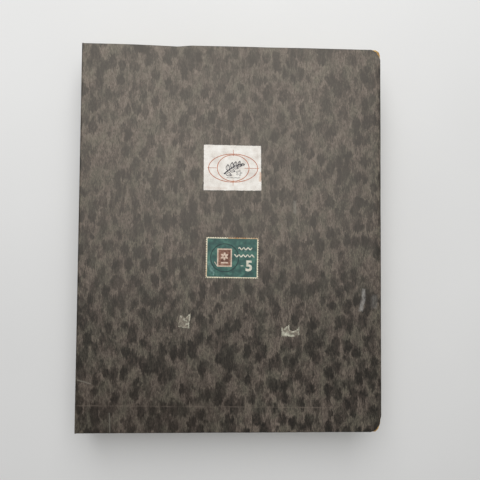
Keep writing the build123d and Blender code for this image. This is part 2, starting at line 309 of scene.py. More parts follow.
def mottled(name, marks=False):
    """Covering paper printed with feathery vertical blotches, worn along its edges; painted shade darkens
    its rounded edges and joint bends, and on the front cover a broad band along the lower left.
    """
    s = Shader(name, roughness=0.36, specular=0.54)
    s.bsdf.inputs["Specular Tint"].default_value = (1.0, 0.91, 0.80, 1.0)
    shake = s.vector("SUBTRACT", s.noise((230, 150, 230), 3, 0.6, colour=True), (0.5, 0.5, 0.5))
    place = s.vector("ADD", s.place, s.vector("MULTIPLY", shake, (0.006, 0.009, 0.006)))
    feather = s.minus(s.noise((1500, 100, 1500), 2, 0.6, (5, 2, 8)), 0.5)
    place = s.vector("ADD", place, s.vector("MULTIPLY", feather, (0.0, 0.012, 0.0)))
    away, pick = s.cells((144, 94, 144), (0, 0, 0), place)
    blotch = s.times(s.ramp(away, [(0.37, 1.0), (0.61, 0.0)]), s.fma(pick, 0.85, 0.38), clamp=True)
    ring = s.ramp(away, [(0.50, 0.0), (0.57, 1.0), (0.64, 0.0)])
    away, pick = s.cells((250, 160, 250), (3.3, 1.2, 0.6), place)
    spot = s.times(s.ramp(away, [(0.34, 1.0), (0.58, 0.0)]), s.fma(pick, 0.8, 0.1), clamp=True)
    fibre = s.stretch(s.noise((760, 120, 760), 4.0, 0.65, (8.3, 1.1, 4.2), place), 3.4)
    fine = s.stretch(s.noise((1500, 420, 1500), 3.0, 0.7, (1.7, 9.1, 2.2)), 3.4)
    dark = s.fma(spot, 0.42, s.times(blotch, 0.78), clamp=True)
    vein = s.ramp(s.noise((300, 120, 300), 4, 0.6, (2.2, 6.1, 3.5), place),
                  [(0.455, 0.0), (0.50, 1.0), (0.545, 0.0)])
    vein = s.times(s.most(vein, ring), s.stretch(s.noise(90, 2, 0.5, (1, 5, 9)), 4.0))
    tone = s.fma(fibre, 0.27, s.times(fine, 0.25))
    tone = s.fma(s.minus(1.0, dark), 0.46, tone)
    tone = s.fma(vein, 0.17, tone)
    warm = s.ramp(tone, [(0.14, (17, 15, 14)), (0.36, (35, 31, 28)), (0.60, (67, 59, 53)),
                         (0.92, (116, 105, 95))])
    green = s.ramp(tone, [(0.14, (18, 17, 15)), (0.36, (34, 32, 28)), (0.60, (61, 58, 51)),
                          (0.92, (106, 100, 87))])
    hue = s.mask((84, 60, 84), 4, 0.6, (4.4, 2.9, 6.0), 0.38, 0.58)
    colour = s.mix(hue, green, warm)
    cloud = s.mask((14, 12, 14), 3, 0.5, (1.2, 0.4, 0.9), 0.35, 0.65, 0.88, 1.06)
    colour = s.mix(1.0, colour, cloud, "MULTIPLY")
    edge_shade_and_wear = s.attribute("edge_shade_and_wear")
    # Painted shade: darkens the covering along its rounded edges, walls and joint bends; the extra
    # darkening near worn corners and the pale scuffs below are wear.
    colour = s.over(colour, (36, 30, 26), edge_shade_and_wear, 0.60)
    scuffed = s.mask(700, 4, 0.7, (2, 5, 8), 0.60, 0.70, 0.0, 0.55)
    colour = s.over(colour, (150, 134, 112), edge_shade_and_wear, scuffed)
    height = s.fma(fibre, 0.6, s.times(fine, 0.4))
    if marks:
        broken = s.mask((60, 300, 60), 3, 0.6, (6, 1, 3), 0.42, 0.60, 0.1)
        crease = s.stroke((-113, -125.4), (77, -127.5), 0.45, 0.5, 1.2)
        scratches = s.most(s.stroke((-113.5, -106.6), (-108, -108.0), 0.5, 0.4, 0.8),
                           s.stroke((-108, -108.0), (-103.2, -109.6), 0.5, 0.4, 0.8))
        scratches = s.most(scratches, s.stroke((-88.8, -131), (-88.2, -145), 0.3, 0.5, 0.8))
        fleck = s.stroke((48, 26.5), (48.2, 19.2), 0.7, 1.4, 2.5)
        scuff = s.most(s.stroke((100.7, -39.8), (100.4, -46.5), 0.9, 1.6, 2.0),
                       s.stroke((100.4, -46.5), (98.6, -54.0), 1.0, 1.8, 2.0))
        faint = s.times(s.stroke((109.0, -45.5), (108.6, -51.0), 1.2, 3.0, 3.0), 0.40)
        colour = s.over(colour, (118, 107, 97), s.times(crease, broken), 0.40)
        colour = s.over(colour, (128, 124, 114), scratches, 0.60)
        colour = s.over(colour, (140, 138, 128), fleck, 0.32)
        grain = s.mask((900, 260, 900), 3, 0.7, (3, 3, 7), 0.40, 0.60, 0.35)
        colour = s.over(colour, (156, 154, 150), s.most(scuff, faint), s.times(grain, 0.66))
        # Painted shade: a broad soft darkening along the lower left of the front cover.
        lower_left_shade = s.stroke((-104, -134), (-40, -140), 16, 46)
        colour = s.over(colour, (38, 29, 22), lower_left_shade, 0.24)
        stain = s.most(s.stroke((-73, 145.5), (-66.0, 141.5), 3.4, 3.0, 3.0),
                       s.stroke((-26.0, 138.0), (-25.6, 135.6), 2.4, 2.4, 2.5))
        colour = s.over(colour, (18, 16, 15), stain, 0.85)
        height = s.minus(height, s.times(crease, 0.8))
    roughness = s.fma(dark, -0.05, 0.38)
    return s.finish(colour, roughness, s.bump(height, 0.03, 0.5))


def fibrous(name, dark, light, layered=0.0, roughness=0.85, lump=90, speck=None, grain=900):
    """Paper or board: cloudy tone, fine fibres, and layers seen on its cut edges."""
    s = Shader(name, roughness=roughness, specular=0.25)
    tone = s.times(s.noise((lump, lump, lump * 4), 4, 0.6), 0.5)
    fibre = s.noise(grain, 5, 0.7, (2, 3, 5))
    tone = s.fma(fibre, 0.5, tone)
    if layered:
        tone = s.fma(s.minus(s.noise((60, 60, 5200), 3, 0.6, (7, 1, 2)), 0.5), layered, tone)
    colour = s.ramp(tone, [(0.38, dark), (0.62, light)])
    if speck is not None:
        spots = s.mask(1300, 2, 0.5, (9, 2, 4), 0.66, 0.72, 0.0, 0.7)
        colour = s.over(colour, speck, spots)
    return s.finish(colour, s.fma(fibre, 0.2, roughness - 0.1), s.bump(fibre, 0.06, 0.5))


def woven(name, dark, light, pitch, roughness, sheen=0.0):
    """Plain-weave cloth with threads pitch millimetres apart."""
    s = Shader(name, roughness=roughness, specular=0.3)
    s.bsdf.inputs["Sheen Weight"].default_value = sheen
    s.bsdf.inputs["Sheen Roughness"].default_value = 0.5
    turns = tau / (pitch * MM)
    x, y, z = s.axes()
    warp = s.math("SINE", s.times(s.math("ADD", x, z), turns))
    weft = s.math("SINE", s.times(y, turns))
    cross = s.times(warp, weft)
    height = s.fma(s.noise(700, 3, 0.6), 1.2, s.times(cross, 0.5))
    colour = s.ramp(s.fma(height, 0.45, 0.15), [(0.2, dark), (0.8, light)])
    return s.finish(colour, None, s.bump(height, 0.08, 0.6))


def make_metal():
    """Worn nickel of the screw posts."""
    s = Shader("post_metal", roughness=0.35, metallic=1.0)
    marks = s.noise((300, 4200, 4200), 4, 0.6)
    dull = s.noise(500, 4, 0.65, (1, 2, 3))
    colour = s.ramp(dull, [(0.35, (150, 146, 138)), (0.6, (205, 204, 200))])
    return s.finish(colour, s.fma(dull, 0.35, 0.18), s.bump(marks, 0.02, 0.4))


def make_glassine():
    """Glazed translucent paper of the pocket strips, faintly streaked."""
    s = Shader("glassine", roughness=0.34, specular=0.5)
    streak = s.noise((40, 900, 900), 4, 0.6)
    cloud = s.noise(120, 4, 0.6, (3, 1, 2))
    colour = s.ramp(s.fma(streak, 0.5, s.times(cloud, 0.5)),
                    [(0.38, (222, 219, 206)), (0.62, (246, 244, 236))])
    s.feed(s.bsdf.inputs["Alpha"], s.fma(cloud, 0.16, 0.05))
    return s.finish(colour, s.fma(streak, 0.2, 0.24), s.bump(streak, 0.02, 0.4))


def make_label_paper():
    """White label paper: soft fibres, faint vertical lines, a rust-brown stain at one edge and a painted
    shade line near its lower edge.
    """
    s = Shader("label_paper", roughness=0.7, specular=0.3)
    cloud = s.noise(160, 4, 0.6)
    fibre = s.noise(1500, 4, 0.7, (2, 7, 1))
    tone = s.fma(cloud, 0.6, s.times(fibre, 0.4))
    colour = s.ramp(tone, [(0.36, (206, 198, 190)), (0.50, (229, 224, 216)), (0.62, (240, 237, 231))])
    creases = s.mask((420, 90, 420), 4, 0.7, (6, 6, 1), 0.60, 0.68, 0.0, 0.30)
    colour = s.over(colour, (196, 184, 172), creases)
    stain = s.stroke((21.9, 48.4), (21.5, 43.0), 0.4, 1.3, 1.6)
    colour = s.over(colour, (196, 140, 92), stain, 0.55)
    # Painted shade: a faint darker line near the label's lower edge.
    low = s.stroke((-19, 37.2), (-4, 36.6), 0.2, 1.2, 2.0)
    colour = s.over(colour, (190, 166, 148), low, 0.25)
    return s.finish(colour, None, s.bump(tone, 0.08, 0.6))


def make_ink(name, dark, light, paper, wear=0.30):
    """Printing ink rubbed through to the paper in places."""
    s = Shader(name, roughness=0.6, specular=0.35)
    rub = s.noise(700, 4, 0.7, (1, 8, 3))
    colour = s.ramp(s.noise(420, 3, 0.6), [(0.38, dark), (0.62, light)])
    gone = s.ramp(rub, [(0.52, 0.0), (0.66, wear)])
    return s.finish(s.over(colour, paper, gone), None, s.bump(rub, 0.02, 0.3))


def make_stamp_border():
    """Cream paper round the cover stamp, browned along its head and left edges."""
    s = Shader("stamp_border", roughness=0.75, specular=0.25)
    fibre = s.noise(900, 4, 0.7)
    colour = s.ramp(fibre, [(0.36, (222, 211, 180)), (0.62, (246, 239, 214))])
    brown = s.most(s.stroke((-2, -0.9), (19.5, -1.2), 1.2, 0.9, 1.2),
                   s.times(s.stroke((-18.8, -4), (-18.6, -29), 0.5, 0.8, 1.4), 0.6))
    patches = s.mask(160, 3, 0.6, (4, 8, 2), 0.42, 0.60, 0.1, 0.9)
    colour = s.over(colour, (178, 128, 72), brown, patches)
    return s.finish(colour, None, s.bump(fibre, 0.05, 0.5))


def make_stamp_print():
    """Dark blue-green field engraved with fine lines, scuffed at its lower left."""
    s = Shader("stamp_field", roughness=0.5, specular=0.4)
    cloud = s.noise(260, 4, 0.6)
    colour = s.ramp(cloud, [(0.36, (34, 72, 66)), (0.5, (47, 91, 82)), (0.64, (72, 116, 102))])
    line = s.math("SINE", s.times(s.axes()[1], tau / (0.42 * MM)))
    colour = s.over(colour, (20, 50, 52), s.ramp(line, [(0.35, 0.20), (0.85, 0.0)]))
    scuff = s.most(s.stroke((-16.8, -19.5), (-14.6, -25.5), 0.8, 1.6, 3.0),
                   s.stroke((-13.2, -24), (-13.2, -29), 0.2, 0.7, 2.0))
    scuff = s.most(scuff, s.times(s.stroke((10.5, -11.0), (11.6, -11.4), 0.6, 0.8, 1.5), 0.6))
    grain = s.mask((1100, 700, 900), 4, 0.7, (5, 1, 1), 0.42, 0.62, 0.1, 0.9)
    colour = s.over(colour, (120, 158, 150), scuff, grain)
    worn = s.mask(520, 5, 0.75, (4, 4, 9), 0.66, 0.74, 0.0, 0.5)
    colour = s.over(colour, (108, 134, 126), worn)
    return s.finish(colour, s.fma(cloud, 0.25, 0.36), s.bump(cloud, 0.04, 0.4))


def make_album_print():
    """Printed face of the stamps in the pockets; each takes its ink and its device from its attributes."""
    s = Shader("album_stamp_print", roughness=0.55, specular=0.35)
    ink = s.ramp(s.attribute("tone"), [
        (0.0, (126, 46, 40)), (0.17, (44, 78, 118)), (0.34, (60, 98, 62)), (0.5, (150, 96, 44)),
        (0.67, (96, 62, 104)), (0.84, (52, 96, 98)), (1.0, (110, 70, 54)),
    ])
    u, v, kind = s.axes(s.attribute("place", "Vector"))
    edge = s.most(s.math("ABSOLUTE", u), s.math("ABSOLUTE", v))
    frames = s.ramp(edge,
                    [(0.0, 0.0), (0.76, 0.0), (0.78, 1.0), (0.82, 1.0), (0.84, 0.0), (0.90, 0.0),
                     (0.92, 0.55)])
    radius = s.math("SQRT", s.math("ADD", s.times(u, u), s.times(v, v)))
    angle = s.math("ARCTAN2", v, u)
    petals = s.fma(s.math("COSINE", s.times(angle, 8.0)), 0.12, 0.46)
    rosette = s.math("LESS_THAN", radius, petals)
    ring = s.math("LESS_THAN", s.math("ABSOLUTE", s.minus(radius, 0.62)), 0.03)
    hill = s.fma(s.math("SINE", s.times(u, 4.2)), 0.14, -0.18)
    ground = s.times(s.math("LESS_THAN", v, hill), s.math("LESS_THAN", edge, 0.74))
    rays = s.math("GREATER_THAN", s.math("SINE", s.times(angle, 24.0)), 0.55)
    sunny = s.most(ground, s.times(s.times(rays, 0.5), s.math("LESS_THAN", edge, 0.74)))
    first = s.most(rosette, ring)
    device = s.mix(s.math("GREATER_THAN", kind, 0.5), first, sunny)
    pattern = s.most(frames, device)
    grain = s.noise(900, 4, 0.6)
    pale = s.over(ink, (232, 220, 194), 0.62)
    colour = s.mix(s.times(pattern, 0.85), pale, ink)
    colour = s.over(colour, (220, 208, 182), s.ramp(grain, [(0.5, 0.0), (0.75, 0.3)]))
    return s.finish(colour, None, s.bump(grain, 0.02, 0.3))


def make_torn():
    """Torn scrap: thin grey-green paper skin with bright broken ridges."""
    s = Shader("torn_paper", roughness=0.6, specular=0.4)
    fibre = s.noise((700, 500, 700), 5, 0.7, (1, 1, 5))
    ridge = s.attribute("ridge")
    base = s.ramp(fibre, [(0.36, (86, 81, 71)), (0.52, (122, 114, 101)), (0.66, (150, 141, 125))])
    bright = s.ramp(fibre, [(0.36, (158, 158, 138)), (0.62, (212, 210, 192))])
    colour = s.mix(ridge, base, bright)
    return s.finish(colour, None, s.bump(fibre, 0.10, 0.8))


COVERING = mottled("mottled_covering")
COVER_FRONT = mottled("mottled_front", marks=True)
STRAWBOARD = fibrous("strawboard", (150, 112, 62), (208, 172, 108), 1.1, 0.9, 140, (120, 86, 50))
PAPER = {
    "strawboard": STRAWBOARD,
    "endpaper": fibrous("endpaper", (196, 186, 160), (218, 210, 188), 0.0, 0.85, 40, (170, 150, 116)),
    "black_cloth": woven("black_cloth", (18, 18, 20), (58, 57, 58), 0.55, 0.8, 0.15),
    "guard_board": fibrous("guard_board", (164, 150, 118), (196, 184, 152), 0.9, 0.88, 80, (130, 110, 80)),
    "post_metal": make_metal(),
    "leaf_card": fibrous("leaf_card", (190, 180, 152), (212, 204, 180), 0.5, 0.85, 30, (160, 142, 110)),
    "linen": woven("linen", (150, 142, 118), (212, 204, 180), 0.5, 0.85, 0.1),
    "glassine": make_glassine(),
}
LABEL_PAPER = make_label_paper()
ORANGE_INK = make_ink("orange_ink", (162, 80, 42), (190, 108, 66), (226, 214, 202), 0.30)
GREY_INK = make_ink("grey_ink", (26, 24, 32), (56, 52, 62), (214, 206, 198), 0.15)
STAMP_PAPER = fibrous("stamp_paper", (196, 180, 146), (226, 214, 186), 0.0, 0.75, 300, (176, 140, 92))
STAMP_BORDER = make_stamp_border()
STAMP_FIELD = make_stamp_print()
DARK_INK = make_ink("dark_ink", (22, 38, 40), (36, 56, 56), (70, 104, 98), 0.25)
PALE_INK = make_ink("pale_ink", (190, 186, 168), (222, 218, 202), (110, 138, 130), 0.55)
BROWN_INK = make_ink("brown_ink", (90, 54, 42), (134, 94, 76), (186, 156, 136), 0.45)
ROSE_PAPER = make_ink("rose_paper", (196, 172, 152), (216, 196, 178), (160, 126, 104), 0.3)
ALBUM_PRINT = make_album_print()
TORN = make_torn()


# --- Covers

def sag(x, y):
    """How far the outer face of a cover stands off its flat place, as boards and paste leave it."""
    fade = unit((x - X_HINGE) / 18.0)
    return fade * (0.07 * wave(x, y, 46.0, 3.0) + 0.03 * wave(x, y, 13.0, 8.0))


def dent(x, y):
    """Step pressed into the head edge of the front cover."""
    if y < 0:
        return 0.0
    rise = unit((x + 86.0) / 44.0)
    fall = unit((-31.0 - x) / 11.0)
    return 1.05 * min(rise ** 1.5, fall)


def outline(side, inset, tail, head, seed, hinge_x, ragged, pitch=2.5):
    """Tail, fore-edge and head of a cover: (x, y, outward x, outward y, share of worn corner)."""
    right, half = X_FORE - inset, HALF - inset
    points = [(x, -half, 0.0, -1.0, 0.0) for x in steps(hinge_x, right - tail[0], pitch)]
    for low, (across, up) in ((-1, tail), (1, head)):
        for i in range(1, CORNER_STEPS):
            angle = radians(90 * i / CORNER_STEPS - (90 if low < 0 else 0))
            normal = Vector((cos(angle) / across, sin(angle) / up)).normalized()
            points.append((right - across + across * cos(angle), low * (half - up) + up * sin(angle),
                           normal.x, normal.y, min(1.0, 4.0 * min(i, CORNER_STEPS - i) / CORNER_STEPS)))
        if low < 0:
            points += [(right, y, 1.0, 0.0, 0.0) for y in steps(-half + tail[1], half - head[1], pitch)]
    points += [(x, half, 0.0, 1.0, 0.0) for x in steps(right - head[0], hinge_x, pitch)]
    shaken = []
    for x, y, nx, ny, worn in points:
        away = 0.10 * wave(x, y, 22.0, seed) + 0.05 * wave(x, y, 5.0, seed + 3)
        away += worn * ragged * (0.7 * wave(x, y, 2.2, seed + 5) + 0.3 * wave(x, y, 0.8, seed + 6))
        away -= 0.12
        x, y = x + nx * away, y + ny * away
        pressed = dent(x, y) if side < 0 else 0.0
        shaken.append((x - nx * pressed, y - ny * pressed, nx, ny, worn))
    return shaken


def make_cover_skin(name, node, body, outer, side, material, seed, tail, head):
    """Covering of one cover: its face, rounded edges and turn-ins, worn through at two corners."""
    path = outline(side, 0.0, tail, head, seed, X_HINGE, 0.8)
    section = [(inset, drop, i / 5) for i, (inset, drop) in enumerate(quarter(EDGE_RADIUS, 5))]
    top_rows = len(section)
    section.append((0.03, PANEL / 2, 0.5))
    for i in range(4):
        angle = radians(30 * i)
        section.append((0.5 * (1 - cos(angle)), PANEL - 0.5 + 0.5 * sin(angle), 0.7 - 0.2 * i))
    section += [(3.0, PANEL, 0.0), (TURN_IN, PANEL, 0.0)]
    verts, edge_shade_and_wear = [], []
    rings = [0.015] + [i / FACE_RINGS for i in range(1, FACE_RINGS)]
    for share in rings:
        for x, y, nx, ny, worn in path:
            inner_x, inner_y = x - nx * EDGE_RADIUS, y - ny * EDGE_RADIUS
            px = X_HINGE + (inner_x - X_HINGE) * share
            py = inner_y * share
            verts.append((px, py, outer - side * sag(px, py)))
            edge_shade_and_wear.append(0.0)
    for row, (inset, drop, shade) in enumerate(section):
        for x, y, nx, ny, worn in path:
            px, py = x - nx * inset, y - ny * inset
            if row < top_rows:
                level = drop * (1 - worn) - worn * 0.10 * row / top_rows
            elif row == top_rows:
                level = drop
            else:
                level = PANEL - (PANEL - drop) * (1 - worn)
            verts.append((px, py, outer + side * (level - sag(px, py) * (1 - level / PANEL))))
            # Painted shade on the rounded edge rows, strongest where the edge turns down; the added
            # darkening near the worn corners is wear.
            edge_shade_and_wear.append(max(0.0, shade) * (1 - 0.5 * worn) + (0.35 * worn if row < 2 else 0.0))
    columns = len(path)
    rows = len(rings) + len(section)
    wall = len(rings) + top_rows - 1

    def keep(r, c):
        return not (wall <= r < wall + 2 and min(path[c][4], path[c + 1][4]) > BARE)

    faces = [tuple(range(columns))] + grid(rows, columns, keep)
    skin = mesh_object(name, verts, faces, [material], facing=(0, 0, -side))
    point_values(skin, "edge_shade_and_wear", edge_shade_and_wear)
    thicken(skin, SKIN)
    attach(skin, body)
    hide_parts(node)


def make_cover_board(name, node, body, side, seed, tail, head):
    """Strawboard of one cover, bruised round and splitting into its layers at the bare corners."""
    low, high = corners(node)
    path = outline(side, 0.45, tail, head, seed, low[0], 0.45)
    layers = 9
    verts = []
    bottom, top = low[2], high[2]
    for row in range(layers + 1):
        share = row / layers
        for x, y, nx, ny, worn in path:
            bruise = 0.30 * (2 * share - 1) ** 4 + 0.16 * wave(x * 3 + y, row * 7.3, 3.0, seed)
            away = -worn * bruise - 0.02
            level = bottom + (top - bottom) * share
            verts.append((x + nx * away, y + ny * away, level))
    columns = len(path)
    faces = grid(layers + 1, columns)
    for row in range(layers):
        start, above = row * columns, (row + 1) * columns
        faces.append((above - 1, start, above, above + columns - 1))
    faces.append(tuple(range(columns)))
    faces.append(tuple(range(layers * columns, (layers + 1) * columns)))
    board = mesh_object(name, verts, faces, [STRAWBOARD], angle=30)
    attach(board, body)
    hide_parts(node)


make_cover_skin("front_cover_paper", "front_covering", "front_cover", TOP, -1, COVER_FRONT, 2.0,
                (9.5, 14.5), (9.0, 12.5))
make_cover_skin("back_cover_paper", "back_covering", "back_cover", 0.0, 1, COVERING, 31.0,
                (8.0, 10.0), (9.0, 7.5))
make_cover_board("front_cover_board", "front_board", "front_cover", -1, 5.0, (4.6, 11.0), (3.6, 4.4))
make_cover_board("back_cover_board", "back_board", "back_cover", 1, 45.0, (5.0, 5.5), (5.6, 5.0))


# --- Spine and hinges

def strip_ends(depth, reach, radius, pitch):
    """Places along the height for a strip with both ends turned in: (y, depth, amount of painted edge shade
    and wear).
    """
    turned = quarter(radius, 5)
    turned += [(down, depth - away) for away, down in turned] + [(reach / 2, depth), (reach, depth)]
    turned = [(away, down, 1.0 if 0 < down < depth else 0.0) for away, down in turned]
    low = [(-HALF + away, down, edge_shade_and_wear) for away, down, edge_shade_and_wear in reversed(turned)]
    high = [(HALF - away, down, edge_shade_and_wear) for away, down, edge_shade_and_wear in turned]
    middle = [(y, 0.0, 0.0) for y in steps(-HALF + radius, HALF - radius, pitch)[1:-1]]
    return low + middle + high


def make_spine_skin():
    """Covering of the spine board, turned in at head and tail."""
    places = strip_ends(SPINE_HIGH[0] - X_SPINE, 9.0, EDGE_RADIUS, 3.0)
    levels = steps(SPINE_LOW[2], SPINE_HIGH[2], 1.2)
    verts, edge_shade_and_wear = [], []
    for z in levels:
        for y, down, edge in places:
            swell = 0.10 * wave(y, z, 24.0, 5.0) + 0.03 * wave(y, z, 7.0, 2.0) if down == 0 else 0.0
            fade = sin(pi * (z - levels[0]) / (levels[-1] - levels[0]))
            verts.append((X_SPINE + down + 0.10 * fade - swell * fade, y, z))
            # Painted shade and wear darken the turned-in ends of the spine.
            edge_shade_and_wear.append(edge)
    skin = mesh_object("spine_paper", verts, grid(len(levels), len(places)), [COVERING])
    face_left(skin, X_SPINE + 1.3, 100)
    point_values(skin, "edge_shade_and_wear", edge_shade_and_wear)
    thicken(skin, SKIN)
    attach(skin, "binding_block")
    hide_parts("spine_covering")


def face_left(made, limit, reach=HALF):
    """Turns a sheet so that its faces left of limit, within reach of the middle, look left."""
    mesh = made.data
    total = sum(p.normal.x * p.area for p in mesh.polygons
                if p.center.x < limit * MM and abs(p.center.y) < reach * MM)
    if total > 0:
        mesh.flip_normals()


def make_outer_hinge(name, node, outer, side):
    """Covering round the edge of the spine, bending on the line where the cover turns."""
    low, high = corners(node)
    start = low[2] if side < 0 else high[2]
    turn = outer + side * HINGE_RADIUS
    profile = [(X_SPINE, z, 1.0, 0.0) for z in steps(start, turn, 0.7)[:-1]]
    for i in range(13):
        angle = radians(90 * i / 12)
        profile.append((X_HINGE - HINGE_RADIUS * cos(angle), turn - side * HINGE_RADIUS * sin(angle),
                        cos(angle), side * sin(angle)))
    places = strip_ends(0.85, 8.0, 0.42, 3.0)
    verts, edge_shade_and_wear = [], []
    for x, z, nx, nz in profile:
        for y, down, edge in places:
            verts.append((x + nx * down, y, z + nz * down))
            # Painted shade where the covering bends round the spine's edge; its turned ends get painted
            # shade and wear.
            edge_shade_and_wear.append(max(edge, 0.55 * min(1.0, 1.4 * nx * abs(nz) * 2)))
    skin = mesh_object(name, verts, grid(len(profile), len(places)), [COVERING])
    face_left(skin, X_SPINE + 1.3, 100)
    point_values(skin, "edge_shade_and_wear", edge_shade_and_wear)
    thicken(skin, HINGE_SKIN)
    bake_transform(skin)
    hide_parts(node)


def make_inner_hinge(name, node, side):
    """Black cloth joint between a flap and the inside of its cover."""
    low, high = corners(node)
    flap, face = (low[2], high[2]) if side < 0 else (high[2], low[2])
    bend = 0.5
    near, far = low[0] + 0.02, high[0]
    up = 1 if face > flap else -1
    profile = [(x, flap) for x in steps(far, near + bend, 0.8)]
    turned = quarter(bend, 8)
    profile += [(near + across, flap + up * along) for across, along in turned[1:]]
    profile += [(near, z) for z in steps(flap + up * bend, face - up * bend, 0.06)[1:-1]]
    profile += [(near + along, face - up * across) for across, along in turned]
    profile += [(x, face) for x in steps(near + bend, far, 0.8)[1:]]
    ys = steps(low[1], high[1], 4.0)
    verts = [(x, y, z) for x, z in profile for y in ys]
    strip = mesh_object(name, verts, grid(len(profile), len(ys)), [PAPER["black_cloth"]])
    face_left(strip, near + 0.05)
    thicken(strip, CLOTH)
    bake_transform(strip)
    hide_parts(node)


def make_linen(number):
    """Linen joint of one leaf: two cloths pasted back to back, parting to grip the card."""
    node = f"leaf_{number}_linen_hinge"
    low, high = corners(node)
    card = corners(f"leaf_{number}_card")
    middle = (low[2] + high[2]) / 2
    grip = card[0][0]
    parting, bend = 2.6, 1.6
    xs = steps(low[0], grip - parting, 0.4) + steps(grip - parting, grip, 0.33)[1:]
    xs += steps(grip, high[0], 1.6)[1:]
    ys = steps(low[1], high[1], 3.0)
    verts, faces = [], []
    for up in (1, -1):
        first = len(verts)
        for x in xs:
            share = unit((x - grip + parting) / parting)
            rise = 0.15 + (high[2] - middle - 0.15) * share * share * (3 - 2 * share)
            for y in ys:
                pucker = 0.05 * wave(x * 2, y, 9.0, number + up) * (1 - share)
                verts.append((x, y, middle + up * rise + pucker))
        faces += grid(len(xs), len(ys), first=first)
    cloth = mesh_object(f"leaf_{number}_linen", verts, faces, [PAPER["linen"]])
    for polygon in cloth.data.polygons:
        if (polygon.normal.z > 0) != (polygon.center.z > middle * MM):
            polygon.flip()
    thicken(cloth, CLOTH)
    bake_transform(cloth)
    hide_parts(node)


make_spine_skin()
make_outer_hinge("front_joint_paper", "front_outer_hinge", TOP, -1)
make_outer_hinge("back_joint_paper", "back_outer_hinge", 0.0, 1)
make_inner_hinge("front_joint_cloth", "front_inner_hinge", -1)
make_inner_hinge("back_joint_cloth", "back_inner_hinge", 1)
for leaf in range(1, LEAVES + 1):
    make_linen(leaf)


# --- Stamps

def perforated(width, height, pitch, bite, seed, detail=4):
    """Edge of a stamp centred on the origin, with half-round bites between its teeth."""
    rng = random.Random(seed)
    half_w, half_h = width / 2, height / 2
    sides = [((-half_w, -half_h), (1, 0), width), ((half_w, -half_h), (0, 1), height),
             ((half_w, half_h), (-1, 0), width), ((-half_w, half_h), (0, -1), height)]
    points = []
    for (x, y), (dx, dy), length in sides:
        count = round(length / pitch)
        step = length / count
        points.append((x, y))
        for i in range(count):
            centre = (i + 0.5) * step
            depth = bite * rng.uniform(0.8, 1.1)
            for j in range(detail + 1):
                angle = pi * j / detail
                along = centre - bite * cos(angle)
                inward = depth * sin(angle) + rng.uniform(0.0, 0.04)
                points.append((x + dx * along - dy * inward, y + dy * along + dx * inward))
    return points


def plate_faces(count):
    """Faces of a plate whose two outlines of count points follow each other."""
    walls = [(i, (i + 1) % count, count + (i + 1) % count, count + i) for i in range(count)]
    return [tuple(range(count)), tuple(range(2 * count - 1, count - 1, -1))] + walls


def plate(points, level, thickness, up):
    """Points and faces of a flat plate with the given outline, its outer face at level."""
    return [(x, y, z) for z in (level, level - up * thickness) for x, y in points], plate_faces(len(points))


def digits(text, height, thickness):
    """Plain numeral as plate outlines: triangulated points and faces, centred on the origin."""
    curve = bpy.data.curves.new("digits", "FONT")
    curve.body = text
    curve.size = 1.0
    curve.offset = thickness
    curve.resolution_u = 3
    holder = bpy.data.objects.new("digits", curve)
    scene.collection.objects.link(holder)
    bpy.context.view_layer.update()
    mesh = bpy.data.meshes.new_from_object(holder.evaluated_get(bpy.context.evaluated_depsgraph_get()))
    bpy.data.objects.remove(holder)
    xs = [v.co.x for v in mesh.vertices]
    ys = [v.co.y for v in mesh.vertices]
    scale = height / (max(ys) - min(ys))
    middle_x, middle_y = (max(xs) + min(xs)) / 2, (max(ys) + min(ys)) / 2
    points = [((v.co.x - middle_x) * scale, (v.co.y - middle_y) * scale) for v in mesh.vertices]
    return points, [tuple(p.vertices) for p in mesh.polygons]


NUMERALS = [digits(text, 1.0, 0.012) for text in ("1", "2", "3", "5", "10", "15")]


def stamp_places(node):
    """Box of each separate stamp in a CAD node, in millimetres."""
    work = bmesh.new()
    work.from_mesh(frame["nodes"][node].data)
    bmesh.ops.remove_doubles(work, verts=work.verts, dist=1e-6)
    left = set(work.verts)
    boxes = []
    while left:
        start = left.pop()
        group, front = [start], [start]
        while front:
            for edge in front.pop().link_edges:
                for vert in edge.verts:
                    if vert in left:
                        left.remove(vert)
                        group.append(vert)
                        front.append(vert)
        low = [min(v.co[i] for v in group) / MM for i in range(3)]
        high = [max(v.co[i] for v in group) / MM for i in range(3)]
        boxes.append((low, high))
    work.free()
    return sorted(boxes, key=lambda b: (round(b[0][2], 2), round(b[0][1], 2), b[0][0]))


